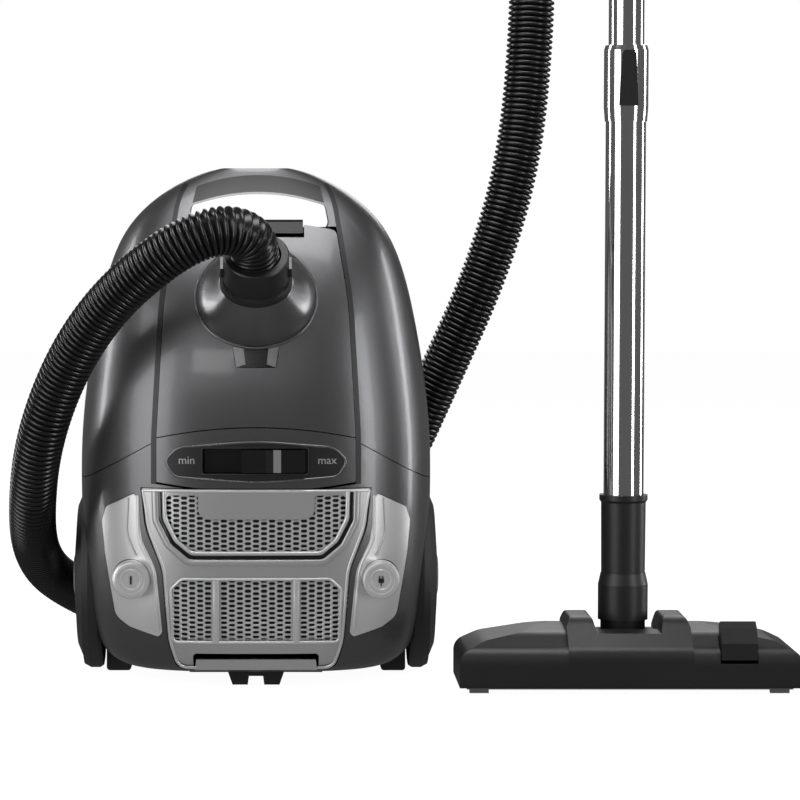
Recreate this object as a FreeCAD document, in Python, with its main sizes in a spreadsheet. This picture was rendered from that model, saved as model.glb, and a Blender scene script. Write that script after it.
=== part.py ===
"""Canister vacuum cleaner parked on its rear end, with its hose, telescopic wand and floor head.

Millimetres. +X to the machine's right as seen from its top cover, +Y away from the cover, +Z up.
The origin is the middle of the rest face on the machine's rear end, under the wheel axle line.
"""
import FreeCAD, Part
import math
import os
import re
import Sketcher

V = FreeCAD.Vector
doc = FreeCAD.newDocument("canister_vacuum")

# ---------------------------------------------------------------- driving dimensions
SIZES = {
    # machine housing
    "wall": 2.6,
    "gap": 0.8,
    "back": 64.0,
    "base": 12.0,
    "split": 10.0,
    "corner": 18.0,
    "groove": 4.2,
    # road wheels
    "wheel_radius": 82.0,
    "wheel_height": 83.0,
    "wheel_inner": 134.0,
    "tyre_depth": 8.0,
    "axle_radius": 6.0,
    "running": 0.05,
    "arch_radius": 86.0,
    "arch_face": 131.0,
    # caster
    "caster_height": 310.0,
    "caster_trail": 10.0,
    "caster_radius": 16.0,
    "caster_pocket": 31.0,
    # hose inlet on the lid
    "inlet_reach": -150.0,
    "inlet_height": 345.0,
    "inlet_rise": 46.0,
    "bore": 26.0,
    "barrel": 27.5,
    "barrel_length": 32.0,
    "hose_radius": 20.5,
    # controls
    "button_radius": 15.8,
    "knob_length": 53.0,
    "knob_width": 19.0,
    # inner parts
    "motor_across": 54.0,
    "motor_back": -48.0,
    "motor_radius": 48.0,
    "motor_foot": 50.0,
    "motor_length": 120.0,
    "reel_across": -60.0,
    "reel_height": 118.0,
    "reel_radius": 54.0,
    "reel_front": -62.0,
    "reel_width": 60.0,
    # wand
    "wand_across": 313.0,
    "wand_back": -100.0,
    "outer_tube": 17.0,
    "inner_tube": 15.0,
    "tube_wall": 1.5,
    "tube_foot": 160.0,
    "tube_top": 491.0,
    "collar_top": 539.0,
    "inner_foot": 455.0,
    "inner_top": 852.0,
    # floor head
    "head_half": 143.0,
    "head_front": -172.0,
    "head_rear": -74.0,
    "pivot_height": 34.0,
    "pivot_radius": 15.0,
}
sheet = doc.addObject("Spreadsheet::Sheet", "Sizes")
for row, (name, number) in enumerate(SIZES.items(), 1):
    sheet.set("A%d" % row, name)
    sheet.set("B%d" % row, str(number))
    sheet.setAlias("B%d" % row, name)
doc.recompute()


# ---------------------------------------------------------------- helpers
def size(expression):
    """The number that an expression of sheet names gives."""
    return float(sheet.evalExpression(str(expression)))


def link(expression):
    """The expression with each sheet name pointed at the sheet."""
    return re.sub(r"[a-z_]+", lambda m: "Sizes." + m.group() if m.group() in SIZES else m.group(),
                  str(expression))


def bind(target, settings):
    for prop, expression in settings.items():
        target.setExpression(prop, link(expression))
    return target


def place(target, at=(0, 0, 0), turn=(V(0, 0, 1), 0)):
    """Stand a sub-part at a point of sheet expressions, turned about an axis by degrees."""
    target.Placement = FreeCAD.Placement(V(*[size(c) for c in at]), FreeCAD.Rotation(*turn))
    for letter, expression in zip("xyz", at):
        target.setExpression("Placement.Base." + letter, link(expression))
    return target


TO_RIGHT = (V(0, 1, 0), 90)
TO_LEFT = (V(0, 1, 0), -90)
TO_BACK = (V(1, 0, 0), -90)
TO_FRONT = (V(1, 0, 0), 90)
TO_INLET = (V(1, 0, 0), 90 - size("inlet_rise"))
INLET = V(0, -math.cos(math.radians(size("inlet_rise"))), math.sin(math.radians(size("inlet_rise"))))
COLLAR = V(0, size("inlet_reach"), size("inlet_height"))


def outline(body, plane, corners):
    """A closed sketch on one of the body's own planes, each corner held by two sheet expressions."""
    sketch = body.newObject("Sketcher::SketchObject", body.Label + "_outline")
    support = [f for f in body.Origin.OriginFeatures if f.Role == plane][0]
    sketch.AttachmentSupport = [(support, "")]
    sketch.MapMode = "FlatFace"
    points = [V(size(u), size(v), 0) for u, v in corners]
    for start, end in zip(points, points[1:] + points[:1]):
        sketch.addGeometry(Part.LineSegment(start, end), False)
    for i, (u, v) in enumerate(corners):
        sketch.addConstraint(Sketcher.Constraint("Coincident", i - 1 if i else len(corners) - 1, 2, i, 1))
        for kind, expression in (("DistanceX", u), ("DistanceY", v)):
            index = sketch.addConstraint(Sketcher.Constraint(kind, i, 1, size(expression)))
            sketch.setExpression("Constraints[%d]" % index, link(expression))
    return sketch


def turned(label, corners, at=(0, 0, 0), turn=(V(0, 0, 1), 0)):
    """A body of revolution: corners are (radius, height) about the body's own Z axis."""
    body = doc.addObject("PartDesign::Body", label)
    sketch = outline(body, "XZ_Plane", corners)
    spin = body.newObject("PartDesign::Revolution", label + "_turned")
    spin.Profile = sketch
    spin.ReferenceAxis = (sketch, ["V_Axis"])
    spin.Angle = 360
    return place(body, at, turn)


def plate(label, plane, corners, depth, at=(0, 0, 0), turn=(V(0, 0, 1), 0)):
    """A padded body: XY pads towards +Z, XZ towards -Y and YZ towards +X."""
    body = doc.addObject("PartDesign::Body", label)
    pad = body.newObject("PartDesign::Pad", label + "_pad")
    pad.Profile = outline(body, plane, corners)
    bind(pad, {"Length": depth})
    return place(body, at, turn)


def pocket(body, plane, corners, depth, reverse=False):
    cut = body.newObject("PartDesign::Pocket", body.Label + "_pocket")
    cut.Profile = outline(body, plane, corners)
    cut.Reversed = reverse
    bind(cut, {"Length": depth})
    return body


def cylinder(label, radius, height, at=(0, 0, 0), turn=(V(0, 0, 1), 0)):
    rod = doc.addObject("Part::Cylinder", label)
    return place(bind(rod, {"Radius": radius, "Height": height}), at, turn)


def box(label, length, width, height, at=(0, 0, 0), turn=(V(0, 0, 1), 0)):
    block = doc.addObject("Part::Box", label)
    return place(bind(block, {"Length": length, "Width": width, "Height": height}), at, turn)


def rectangle(u_low, v_low, u_high, v_high):
    return ((u_low, v_low), (u_high, v_low), (u_high, v_high), (u_low, v_high))


def boolean(label, kind, first, second):
    """Part::Cut, Part::Fuse or Part::Common of two objects."""
    result = doc.addObject("Part::" + kind, label)
    if kind == "Cut":
        result.Base, result.Tool = first, second
    else:
        result.Shapes = [first, second]
    return result


def joined(label, members):
    result = doc.addObject("Part::MultiFuse", label)
    result.Shapes = list(members)
    return result


def feature(label, shape):
    """A free-form sub-part, from a shape that Part's own functions made."""
    part = doc.addObject("Part::Feature", label)
    part.Shape = shape
    part.Placement = FreeCAD.Placement()
    return part


# ---------------------------------------------------------------- free-form geometry
def loop(corners, lift):
    """A closed wire through (u, v) corners; a third number rounds that corner."""
    edges, starts = [], []
    flat = [V(c[0], c[1], 0) for c in corners]
    for i, corner in enumerate(corners):
        here, before, after = flat[i], flat[i - 1], flat[(i + 1) % len(flat)]
        inward, onward = (before - here).normalize(), (after - here).normalize()
        radius = corner[2] if len(corner) > 2 else 0
        if not radius:
            starts.append((here, here, None))
            continue
        half = inward.getAngle(onward) / 2
        reach = radius / math.tan(half)
        middle = here + (inward + onward).normalize() * (radius / math.sin(half) - radius)
        starts.append((here + inward * reach, here + onward * reach, middle))
    for i, (enter, leave, middle) in enumerate(starts):
        if middle:
            edges.append(Part.Arc(lift(enter), lift(middle), lift(leave)).toShape())
        onto = starts[(i + 1) % len(starts)][0]
        edges.append(Part.LineSegment(lift(leave), lift(onto)).toShape())
    return Part.Wire(edges)


def front_prism(corners, low=-260.0, high=0.0):
    """Corners are (x, z); the prism runs along Y."""
    return Part.Face(loop(corners, lambda p: V(p.x, low, p.y))).extrude(V(0, high - low, 0))


def side_prism(corners, low=-180.0, high=180.0):
    """Corners are (y, z); the prism runs along X."""
    return Part.Face(loop(corners, lambda p: V(low, p.x, p.y))).extrude(V(high - low, 0, 0))


def mirrored(corners):
    return [(-c[0],) + tuple(c[1:]) for c in reversed(corners)]


def both_sides(half):
    """A closed outline from the corners of its right half, top to bottom."""
    return list(half) + mirrored(half)


# Height, half width, front reach, and where the flat flank turns into the bowed front.
STATIONS = (
    (12.0, 100.0, -112.0, -40.0),
    (15.0, 117.0, -124.0, -34.0),
    (24.0, 130.5, -135.0, -26.0),
    (42.0, 140.0, -144.0, -19.0),
    (85.0, 148.0, -151.5, -15.0),
    (140.0, 151.0, -154.3, -15.0),
    (205.0, 151.0, -153.8, -15.0),
    (260.0, 145.9, -147.2, -16.0),
    (310.0, 137.5, -131.5, -19.0),
    (355.0, 126.2, -109.5, -24.0),
    (390.0, 109.5, -86.0, -30.0),
    (418.0, 80.5, -64.0, -34.0),
    (432.0, 55.5, -51.0, -35.0),
    (440.0, 30.0, -43.5, -36.0),
)
BOW = 3.0
BOW_POINTS = 12
BOW_SPACING = [0.0, 0.07, 0.14, 0.225, 0.315, 0.41, 0.5, 0.59, 0.685, 0.775, 0.86, 0.93, 1.0]


def section(height, half, front, shoulder, back):
    """One level outline of the housing: bowed front, straight flanks, flat underside."""
    corner = size("corner")
    points = []
    for i in range(BOW_POINTS + 1):
        angle = math.pi * i / BOW_POINTS
        across, ahead = math.cos(angle), math.sin(angle)
        reach = (abs(across) ** BOW + ahead ** BOW) ** (-1 / BOW)
        points.append(V(half * reach * across, shoulder + (front - shoulder) * reach * ahead, height))
    bow = Part.BSplineCurve()
    bow.interpolate(Points=points, Parameters=BOW_SPACING)
    nip = corner * (1 - math.sqrt(0.5))
    return Part.Wire([
        bow.toShape(),
        Part.LineSegment(V(-half, shoulder, height), V(-half, back - corner, height)).toShape(),
        Part.Arc(V(-half, back - corner, height), V(nip - half, back - nip, height),
                 V(corner - half, back, height)).toShape(),
        Part.LineSegment(V(corner - half, back, height), V(half - corner, back, height)).toShape(),
        Part.Arc(V(half - corner, back, height), V(half - nip, back - nip, height),
                 V(half, back - corner, height)).toShape(),
        Part.LineSegment(V(half, back - corner, height), V(half, shoulder, height)).toShape(),
    ])


def envelope(inset):
    """The solid inside the housing's outer surface, drawn in by the inset."""
    wires = []
    for height, half, front, shoulder in STATIONS:
        lift = inset * max(0.0, 1 - (height - size("base")) / 30.0)
        wires.append(section(height + lift, half - inset, front + inset, shoulder, size("back") - inset))
    return Part.makeLoft(wires, True, False)


def beside(shape, low, high):
    """The stretch of a shape between two Y values."""
    slab = Part.makeBox(600, high - low, 700, V(-300, low, -50))
    return shape.common(slab)


outer = envelope(0)
skin = outer.cut(envelope(size("wall")))
front_skin = beside(skin, -200, size("split"))
back_skin = beside(skin, size("split"), 100)

# Deck under the carrying handle, from the lid's top edge down to the underside.
DECK = ((-78, 392), (-50, 391), (-10, 384, 60), (30, 368, 60), (55, 345, 40), (64, 322))
deck_space = side_prism(((-25, 470), (-25, 388.5)) + DECK[2:] + ((110, 322), (110, 470)))
deck_top = side_prism(DECK + ((64, 300), (-78, 300)))
deck_low = side_prism([(y, z - size("wall")) + tuple(r) for y, z, *r in DECK] + [(70, 290), (-90, 290)])
handle_opening = front_prism(((-59, 385, 7), (2, 397, 300), (64, 385, 7), (59.5, 408, 4), (2, 424.5, 170),
                              (-55.5, 408, 4)), -260, 0)
arch = outer.common(side_prism(((-120, 391.5), (-25, 388), (-25, 460), (-120, 460))))


# ---------------------------------------------------------------- outlines of the front pieces
GROOVE = ((86, 175), (86, 214, 300), (80, 329, 300), (67, 413, 60), (60, 427))
half_groove = size("groove") / 2


def groove_strip(side):
    inner = [(side * (c[0] - half_groove),) + tuple(c[1:]) for c in GROOVE]
    outer_side = [(side * (c[0] + half_groove),) + tuple(c[1:]) for c in GROOVE]
    return front_prism(inner + outer_side[::-1])


EDGE = half_groove + 0.4
lid_outline = [(-86 + EDGE, 214.4), (0, 230.6, 390), (86 - EDGE, 214.4), (80 - EDGE, 329, 300),
               (70.8 - EDGE, 387, 6), (0, 399, 310), (EDGE - 70.8, 387, 6), (EDGE - 80, 329, 300)]
panel_outline = [(EDGE - 86, 177), (0, 164.5, 470), (86 - EDGE, 177), (86 - EDGE, 213.5),
                 (0, 229.7, 390), (EDGE - 86, 213.5)]
middle_outline = [(-88.1, 175.8), (0, 163.2, 470), (88.1, 175.8), (88.1, 214, 300), (82.1, 329, 300),
                  (71, 391.3), (-71, 391.3), (-82.1, 329, 300), (-88.1, 214, 300)]
above_seam = [(-200, 173.4), (-151, 173.4, 40), (-88, 209.4, 10), (88, 209.4, 10), (151, 173.4, 40),
              (200, 173.4), (200, 500), (-200, 500)]
below_seam = [(-200, 172.6), (-151, 172.6, 40), (-88, 208.6, 10), (88, 208.6, 10), (151, 172.6, 40),
              (200, 172.6), (200, -20), (-200, -20)]
DOOR = ((95.5, 171.2), (92, 138, 60), (78.5, 103, 50), (73.7, 41, 60), (66, 15.8, 12))
door_outline = both_sides(DOOR)
door_hole = both_sides(((97.1, 172), (93.6, 138, 60), (79.3, 103, 50), (74.5, 41, 60), (66.8, 15, 12)))
UPPER_WINDOW = ((75.5, 166, 4), (74.8, 147, 30), (66, 129, 20), (54, 119, 14))
WINDOWS = (((-30.3, 42.3, 3), (30.6, 42.3, 3), (30.6, 94.2, 3), (-30.3, 94.2, 3)),
           ((37.4, 42.3, 3), (69, 42.3, 3), (70.6, 86, 5), (62, 94.2, 5), (37.4, 94.2, 3)),
           ((-37.4, 42.3, 3), (-37.4, 94.2, 3), (-62, 94.2, 5), (-70.6, 86, 5), (-69, 42.3, 3)))
POD = ((101.5, 167, 2), (126.9, 154, 3), (130.8, 142, 8), (128, 113.5, 60), (119, 61, 12),
       (107, 52.5, 8), (82, 45, 3), (79, 49, 3), (84, 102.6, 40), (96, 126.6, 30))
POWER = V(105, 0, 94.4)


# ---------------------------------------------------------------- housing
def wheel_arches(radius, low):
    """Round recesses for the road wheels, open outwards."""
    centre = size("wheel_height")
    right = Part.makeCylinder(radius, 60, V(low, 0, centre), V(1, 0, 0))
    left = Part.makeCylinder(radius, 60, V(-low, 0, centre), V(-1, 0, 0))
    return Part.makeCompound([right, left])


def make_rest_blocks():
    """Plinth and two feet that the machine stands on."""
    plinth = Part.makeBox(116, 82, 14, V(-58, -30, 0))
    blocks = [plinth.cut(Part.makeBox(100, 66, 5, V(-50, -22, 9.5)))]
    for side in (1, -1):
        foot = front_prism([(side * x, z, r) for x, z, r in
                            ((110, 0.5, 3), (131, 0.5, 3), (131, 34, 2), (102, 34, 6))], -22, 38)
        blocks.append(foot.cut(envelope_inner))
    return blocks


def make_chassis():
    """Black lower shell: flat underside, wheel arches, rest plinth, corner feet and caster cup."""
    wall = size("wall")
    arch_radius, arch_face = size("arch_radius"), size("arch_face")
    centre = size("wheel_height")
    shell = back_skin.cut(deck_space)
    cups = []
    for side in (1, -1):
        cup = Part.makeCylinder(arch_radius + wall, 60, V(side * (arch_face - wall), 0, centre), V(side, 0, 0))
        cups.append(cup.common(outer))
    shell = shell.multiFuse(cups)
    shell = shell.cut(wheel_arches(arch_radius, arch_face))
    low = size("back") - 22
    height = size("caster_height")
    cup = Part.makeCylinder(size("caster_pocket") + wall, 22, V(0, low, height), V(0, 1, 0))
    well = Part.makeCylinder(size("caster_pocket"), 30, V(0, low + wall, height), V(0, 1, 0))
    stem = Part.makeCylinder(4.05, 30, V(0, low - 10, height), V(0, 1, 0))
    shell = shell.multiFuse([cup] + rest_blocks).cut(well).cut(stem)
    for side in (1, -1):
        shell = shell.cut(Part.makeCylinder(size("axle_radius"), 20, V(side * 122, 0, centre), V(side, 0, 0)))
    shell = shell.cut(Part.makeCylinder(9, 20, V(95, 50, 225), V(0, 1, 0)))
    for x in (-112, 112):
        for z in (190, 300):
            shell = shell.cut(Part.makeCylinder(2.2, 20, V(x * (1 if z < 300 else 0.82), 50, z), V(0, 1, 0)))
    return shell


def make_upper_frame():
    """Light cover frame round the lid, with the deck and the carrying handle's arch in one piece."""
    frame = front_skin.cut(arch_zone).common(front_prism(above_seam, -260, 20))
    frame = frame.cut(front_prism(middle_outline)).cut(groove_strip(1)).cut(groove_strip(-1))
    deck = deck_top.cut(deck_low).common(envelope_inner).cut(arch_zone)
    deck = deck.cut(Part.makeBox(400, 60, 100, V(-200, -130, 380)))
    caster_cup = Part.makeCylinder(size("caster_pocket") + size("wall") + 0.2, 40,
                                   V(0, size("back") - 30, size("caster_height")), V(0, 1, 0))
    return frame.cut(deck_space).fuse(deck.cut(caster_cup))


def make_carry_handle():
    """Solid arch of the carrying handle, with its finger opening and a seat for the grip."""
    bar = arch.cut(handle_opening).cut(front_prism(grip_outline).cut(envelope(3.4)))
    for side in (1, -1):
        bar = bar.cut(groove_strip(side).cut(envelope_inner))
    return bar


def make_rear_housing():
    """Housing below the seam, with openings for the door, the pods and the latch."""
    shell = front_skin.common(front_prism(below_seam, -260, 20))
    shell = shell.cut(front_prism(middle_outline, -260, -60))
    shell = shell.cut(front_prism(door_hole, -260, -60)).cut(rest_blocks)
    for side in (1, -1):
        pod = [(side * c[0],) + tuple(c[1:]) for c in (POD if side > 0 else POD[::-1])]
        hole = front_prism(pod, -260, -40)
        shell = shell.cut(hole.scaled(1.01, hole.CenterOfMass)).cut(groove_strip(side))
    return shell.cut(wheel_arches(size("arch_radius") + size("wall") + 0.2, size("arch_face") - size("wall") - 0.2))


def make_pod(side):
    """Side insert round a foot button."""
    corners = [(side * c[0],) + tuple(c[1:]) for c in (POD if side > 0 else POD[::-1])]
    pod = skin.common(front_prism(corners, -260, -40))
    hole = Part.makeCylinder(size("button_radius") + 0.5, 80, V(side * POWER.x, -190, POWER.z), V(0, 1, 0))
    return pod.cut(hole)


def biggest(shape):
    """The one piece of a cut that is the part itself, without slivers."""
    return max(shape.Solids, key=lambda solid: solid.Volume)


envelope_inner = envelope(size("wall"))
arch_zone = side_prism(((-120, 391.5), (-25, 388), (-25, 460), (-120, 460)))
grip_outline = [(-54.5, 410), (2, 426.5, 165), (58.5, 410), (55, 424.5, 2), (2, 443.5, 150), (-51, 424.5, 2)]

rest_blocks = make_rest_blocks()

feature("chassis", biggest(make_chassis()))
feature("upper_frame", biggest(make_upper_frame()))
feature("carry_handle", biggest(make_carry_handle()))
feature("rear_housing", biggest(make_rear_housing()))
feature("handle_grip", biggest(arch.common(front_prism(grip_outline)).cut(envelope(3.2))))
strips = [biggest(skin.common(groove_strip(side)).cut(deck_space)) for side in (1, -1)]
feature("trim_strips", Part.makeCompound(strips))
for side, word in ((1, "right"), (-1, "left")):
    feature(word + "_pod", biggest(make_pod(side)))

SLOT = ((-45, 184.3, 2), (43.5, 184.3, 2), (43.5, 205.7, 2), (-45, 205.7, 2))
panel = skin.common(front_prism(panel_outline)).cut(front_prism(SLOT)).cut(front_prism(door_hole))
feature("control_panel", biggest(panel))

# ---------------------------------------------------------------- exhaust door
door = skin.common(front_prism(door_outline))
latch_gap = front_prism(((-53, 15), (53, 15), (53, 31, 3), (-53, 31, 3)))
door = door.cut(front_prism(both_sides(UPPER_WINDOW))).cut(latch_gap)
for window in WINDOWS:
    door = door.cut(front_prism(window))
feature("exhaust_panel", biggest(door))
grille_layer = envelope(size("wall") + 0.1).cut(envelope(size("wall") + 2.1))


def grille(corners, pitch, slot):
    """A curved plate behind a window, with upright air slots."""
    low_x, high_x = min(c[0] for c in corners), max(c[0] for c in corners)
    low_z, high_z = min(c[1] for c in corners), max(c[1] for c in corners)
    count = int((high_x - low_x - 12) / pitch)
    first = (low_x + high_x) / 2 - pitch * (count - 1) / 2
    bars = [front_prism(((first + pitch * i - slot / 2, low_z + 8), (first + pitch * i + slot / 2, low_z + 8),
                         (first + pitch * i + slot / 2, high_z - 6), (first + pitch * i - slot / 2, high_z - 6)))
            for i in range(count)]
    blank = grille_layer.common(front_prism(corners))
    return blank.cut(Part.makeCompound(bars))


feature("upper_grille", biggest(grille(((-80, 116), (80, 116), (80, 168), (-80, 168)), 10.0, 5.0)))
feature("lower_grille", biggest(grille(((-72.5, 38), (72.5, 38), (74, 98), (-74, 98)), 9.0, 5.0)))

# ---------------------------------------------------------------- lid and hose inlet
inlet_bore = Part.makeCylinder(size("bore"), 120, COLLAR - INLET * 60, INLET)
sleeve_bore = Part.makeCylinder(size("bore") + 2.05, 120, COLLAR - INLET * 60, INLET)
window_outline = [(-17, 272.5, 2), (17, 272.5, 2), (20, 291, 2), (-20, 291, 2)]
lid = skin.common(front_prism(lid_outline)).cut(sleeve_bore).cut(front_prism(window_outline))
latch_notch = front_prism(((-16, 381), (41, 381), (41, 402), (-16, 402)))
feature("lid", biggest(lid.cut(latch_notch)))
pane = envelope(1.0).cut(envelope(2.4))
feature("indicator_window", biggest(pane.common(front_prism([(-16.6, 273, 2), (16.6, 273, 2),
                                                             (19.6, 290.5, 2), (-19.6, 290.5, 2)]))))

SHOULDER = V(0, -math.cos(math.radians(33)), math.sin(math.radians(33)))
oval = Part.Ellipse(V(0, -112, 332), 50.5, 43.0)
oval.Axis = SHOULDER
oval.XAxis = V(1, 0, 0)
rim = Part.Circle(COLLAR, INLET, 31.0)
cone = Part.makeLoft([Part.Wire(oval.toShape()), Part.Wire(rim.toShape())], True, False)
boss = cone.cut(outer).multiFuse([Part.makeCylinder(size("bore") + 2, 46, COLLAR - INLET * 50, INLET)])
feature("inlet_boss", biggest(boss.cut(inlet_bore)))
turned("inlet_seal", rectangle(20.0, -53, "bore + 1.5", -50),
       (0, "inlet_reach", "inlet_height"), TO_INLET)

# swivel connector at the hose's end, with a release button each side
connector_blank = turned(
    "connector_turned",
    ((17, 2), (19, 8), ("hose_radius + 0.5", 8), ("hose_radius + 0.5", "barrel_length"),
     ("barrel - 1", "barrel_length"), ("barrel", "barrel_length - 1"), ("barrel", 6), (30.5, 5),
     (30.5, 1), (22.4, 1), (22.4, -30), (17, -30)))
button_wells = [box("well_" + word, 4.5, 14.8, 10.8, (at, -7.4, 11.6)) for word, at in
                (("right", "hose_radius + 3"), ("left", "-hose_radius - 7.5"))]
hose_connector = boolean("hose_connector", "Cut", connector_blank, joined("button_wells", button_wells))
place(hose_connector, (0, "inlet_reach", "inlet_height"), TO_INLET)
for word, at in (("right", 25.8), ("left", -29.6)):
    key = bind(doc.addObject("Part::Box", word + "_release"), {"Length": 3.8, "Width": 14, "Height": 10})
    key.Placement = FreeCAD.Placement(COLLAR, FreeCAD.Rotation(*TO_INLET)).multiply(
        FreeCAD.Placement(V(at, -7, 12), FreeCAD.Rotation()))

plate("lid_latch", "YZ_Plane", ((-92.5, 384.5), (-84.5, 384.5), (-78.6, 394), (-82, 396), (-86.5, 394)),
      55, (-15, -0.4, 0))

# ---------------------------------------------------------------- controls
knob = plate("knob_block", "XY_Plane",
             ((0, 0), ("knob_length", 0), ("knob_length", -7), ("knob_length * 0.62", -9),
              ("knob_length * 0.5", -6.5), ("knob_length * 0.38", -9), (0, -7)), "knob_width",
             (-12, -150.4, "195 - knob_width / 2"))
stem = box("knob_stem", 8, 7.5, 4.4, (10.5, -152, 192.8))
carriage = box("knob_carriage", 117, 1.8, 27, (-43, -144.2, 181.5))
joined("power_slider", (knob, stem, carriage))
for side, word in ((1, "power_button"), (-1, "rewind_button")):
    turned(word, ((0, 0), ("button_radius", 0), ("button_radius", 12), ("button_radius - 2", 14),
                  (11.5, 14.2), (8, 13.2), (0, 13)),
           (side * POWER.x, -136.0, POWER.z), (V(1, 0, 0), 90))

plate("filter_latch", "XZ_Plane", ((-51.5, 16.6), (51.5, 16.6), (50.5, 25.4), (-50.5, 25.4)), 5,
      (0, -129.5, 0))
slot_block = plate("parking_slot", "XZ_Plane",
                   ((-20, 0.6), (-7, 0.6), (-6, 8), (6, 8), (7, 0.6), (20, 0.6), (24, 11.8), (-24, 11.8)),
                   26, (0, -84, 0))

# ---------------------------------------------------------------- wheels
axles = []
for side, word, turn in ((1, "right", TO_RIGHT), (-1, "left", TO_LEFT)):
    hub_at = ("%d * wheel_inner" % side, 0, "wheel_height")
    turned(word + "_wheel",
           (("axle_radius + running", 0), (20, 0), (24, 9), (66, 9), ("wheel_radius - tyre_depth", 0),
            ("wheel_radius - tyre_depth", 17), (62, 22), (30, 24.5), (22.2, 24.5), (22.2, 20),
            ("axle_radius + running", 20)), hub_at, turn)
    turned(word + "_tyre",
           (("wheel_radius - tyre_depth", 0), ("wheel_radius - 2", 0), ("wheel_radius", 3),
            ("wheel_radius", 11), ("wheel_radius - 3", 16.5), ("wheel_radius - tyre_depth", 17)), hub_at, turn)
    turned(word + "_hub_cap", ((0, 20.3), (22, 20.3), (22, 24.5), (15, 26.3), (0, 27)), hub_at, turn)
    axles.append(cylinder(word + "_axle", "axle_radius", 40, ("%d * 113" % side, 0, "wheel_height"), turn))
wheel_axles = doc.addObject("Part::Compound", "wheel_axles")
wheel_axles.Links = axles

# ---------------------------------------------------------------- caster
plate_body = turned("caster_plate", ((0, 2.9), (22, 2.9), (25, 6.5), (0, 6.5)),
                    (0, "back - 22", "caster_height"), TO_BACK)
stem_body = cylinder("caster_stem", 4, 10, (0, "back - 26", "caster_height"), TO_BACK)
cheeks = [plate("cheek_" + word, "YZ_Plane",
                (("back - 17", "caster_height + 12"), ("back - 17", "caster_height - 19"),
                 ("back - 2", "caster_height - 16"), ("back + 5", "caster_height - 12"),
                 ("back + 5", "caster_height - 7"), ("back - 4", "caster_height + 2")), 3, (at, 0, 0))
          for word, at in (("right", 9.4), ("left", -12.4))]
fork = joined("fork_blank", [plate_body, stem_body] + cheeks)
fork_pin = cylinder("fork_pin", 2.5, 25, (-12.4, "back + 0.5", "caster_height - caster_trail"), TO_RIGHT)
joined("caster_fork", (fork, fork_pin))
turned("caster_wheel", ((2.55, 0), (5, 0), (8, 2), ("caster_radius - 2", 2), ("caster_radius", 4),
                        ("caster_radius", 14), ("caster_radius - 2", 16), (8, 16), (5, 18), (2.55, 18)),
       (-9, "back + 0.5", "caster_height - caster_trail"), TO_RIGHT)

# ---------------------------------------------------------------- inside the machine
chamber = plate("bag_chamber", "YZ_Plane", ((-60, 228), (37, 228), (37, 350), (20, 362), (-5, 369), (-60, 369)),
                208, (-104, 0, 0))
pocket(chamber, "YZ_Plane", ((-70, 230.5), (34.5, 230.5), (34.5, 348.5), (19, 359.5), (-5, 366.5), (-70, 366.5)),
       203, True)
chamber.Tip.setExpression("Length", "203")
bag = box("bag_block", 176, 110, 108, (-88, -82, 236))
dust_bag = doc.addObject("Part::Fillet", "dust_bag")
dust_bag.Base = bag
doc.recompute()
dust_bag.Edges = [(i, 16.0, 16.0) for i in range(1, 13)]

turned("bag_holder", rectangle(21.5, -60, 36, -57), (0, "inlet_reach", "inlet_height"), TO_INLET)
box("motor_filter", 92, 130, 9, (8, -92, 213))
turned("motor_housing",
       ((7, 0), ("motor_radius", 0), ("motor_radius", "motor_length"), ("motor_radius - 14", "motor_length"),
        ("motor_radius - 14", "motor_length - 3"), ("motor_radius - 3", "motor_length - 3"),
        ("motor_radius - 3", 3), (7, 3)), ("motor_across", "motor_back", "motor_foot"))
turned("motor_rotor",
       ((0, -6), (4, -6), (4, 14), (27, 14), (27, 62), (4, 62), (4, 84), ("motor_radius - 6", 84),
        ("motor_radius - 10", 104), (8, 108), (0, 108)), ("motor_across", "motor_back", "motor_foot"))
turned("cable_reel",
       ((5.05, 0), ("reel_radius", 0), ("reel_radius", 2.5), (24, 3.5), (24, "reel_width - 3.5"),
        ("reel_radius", "reel_width - 2.5"), ("reel_radius", "reel_width"), (5.05, "reel_width")),
       ("reel_across", "reel_front", "reel_height"), TO_BACK)
cylinder("reel_axle", 5, "reel_width + 26", ("reel_across", "reel_front - 14", "reel_height"), TO_BACK)
box("hepa_filter", 130, 20, 124, (-65, -127, 32))
box("circuit_board", 110, 1.6, 34, (-55, -122, 178))
turned("cable_grommet", ((5, 0), (8.9, 0), (8.9, 6.4), (11, 6.4), (11, 9), (5, 9)),
       (95, "back - 6.4", 225), TO_BACK)
screws = []
for i, (x, z) in enumerate(((-112, 190), (112, 190), (-91.84, 300), (91.84, 300))):
    screws.append(turned("screw_%d" % i, ((0, 0), (2, 0), (2, 12), (4.2, 12), (3.6, 14), (0, 14.4)),
                         (x, "back - 12", z), TO_BACK))
housing_screws = doc.addObject("Part::Compound", "housing_screws")
housing_screws.Links = screws

# ---------------------------------------------------------------- hose
# From the connector over to the left, down the flank, behind the wheels and up to the wand handle.
ROUTE = (
    COLLAR + INLET * 8.3,
    COLLAR + INLET * 41.0,
    V(-9, -191, 385),
    V(-25, -199, 389),
    V(-47, -202, 384),
    V(-79, -194, 366),
    V(-124, -165, 327),
    V(-161, -134, 272),
    V(-186, -104, 205),
    V(-195, -52, 138),
    V(-195, 28, 96),
    V(-180, 96, 66),
    V(-128, 134, 35),
    V(-64, 142, 21.5),
    V(4, 139, 30),
    V(72, 129, 80),
    V(126, 112, 160),
    V(168, 92, 256),
    V(208, 79, 348),
    V(236, 74, 446),
    V(247, 75, 560),
    V(248, 75, 680),
    V(248, 75.5, 792),
)


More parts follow.
